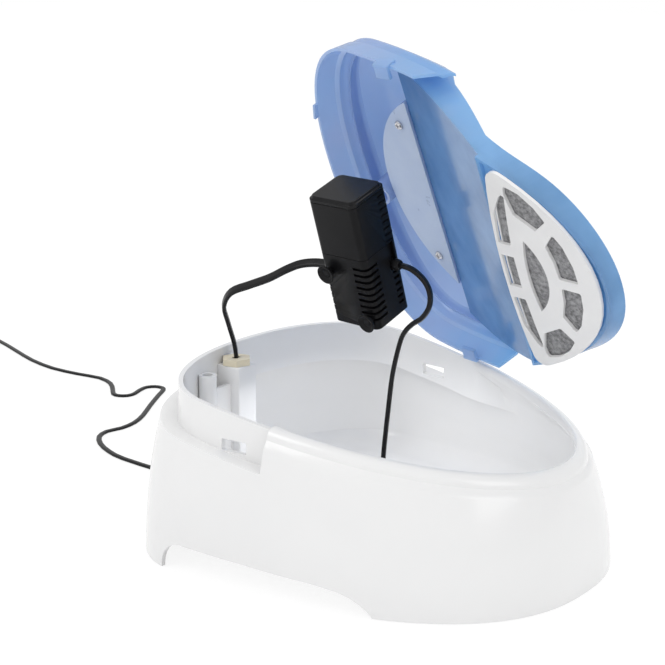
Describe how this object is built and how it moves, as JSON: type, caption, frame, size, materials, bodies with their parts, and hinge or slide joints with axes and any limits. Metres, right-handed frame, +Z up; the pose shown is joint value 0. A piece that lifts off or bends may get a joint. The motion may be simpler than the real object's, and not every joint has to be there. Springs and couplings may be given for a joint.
{
  "type": "pet water fountain",
  "caption": "Egg-shaped drinking fountain for pets, opened for cleaning: white tank with a cable tower, clip-on translucent bowl lid with a filter grille, and a small submersible pump.",
  "frame": {"origin": "centre of the tank's foot outline, on the surface that the fountain stands on", "axes": "+X from the blunt rear with the cable tower to the narrow front, +Y to the far flank, +Z up"},
  "size_m": [0.9434, 0.3137, 0.3266],
  "materials": {
    "tank": "glossy moulded plastic",
    "pad": "matt rubber",
    "ivory": "satin",
    "lid": "glossy translucent plastic",
    "duct": "translucent plastic",
    "steel": "bright",
    "grille": "semi-gloss",
    "felt": "carbon felt",
    "black": "fine satin",
    "soft": "satin rubber",
    "core": "laminated",
    "copper": "enamelled wire",
    "magnet": "sintered",
    "ceramic": "polished ceramic",
    "lens": "clear pinkish lens",
    "cord": "satin sheath"
  },
  "bodies": {
    "base": {"tank_base": "tank", "foot_pads": "pad", "cable_grommet": "ivory", "tower_lead": "cord", "cord_bush": "soft", "pump_lead": "cord", "lamp_lead": "cord", "lamp_capsule": "lens", "supply_cord": "cord", "cord_coil": "cord", "adapter_body": "black", "adapter_pins": "steel", "pump_housing": "black", "pump_cap": "black", "stator_core": "core", "stator_coil": "copper", "impeller_shaft": "ceramic", "shaft_bushes": "soft", "volute_plate": "black", "pump_outlet": "black", "lead_glands": "soft"},
    "strainer": {"pump_strainer": "black", "suction_cups": "soft"},
    "rotor": {"impeller": "ivory", "impeller_magnet": "magnet"},
    "lid": {"lid_shell": "lid", "duct_cover": "duct", "duct_screws": "steel"},
    "filter": {"filter_grille": "grille", "filter_pad": "felt"}
  },
  "joints": [
    {"name": "lid_lift", "type": "slide", "parent": "base", "child": "lid", "axis": [0, 0, 1], "range_m": [0, 0.06]},
    {"name": "filter_slide", "type": "slide", "parent": "lid", "child": "filter", "axis": [-0.121, -0.8721, -0.4741], "range_m": [0, 0.02]},
    {"name": "strainer_slide", "type": "slide", "parent": "base", "child": "strainer", "axis": [-0.015, 0.3431, -0.9392], "range_m": [0, 0.025]},
    {"name": "rotor_spin", "type": "hinge", "parent": "base", "child": "rotor", "pos_m": [0.005, -0.038, 0.201], "axis": [0.015, -0.3431, 0.9392], "continuous": true}
  ]
}
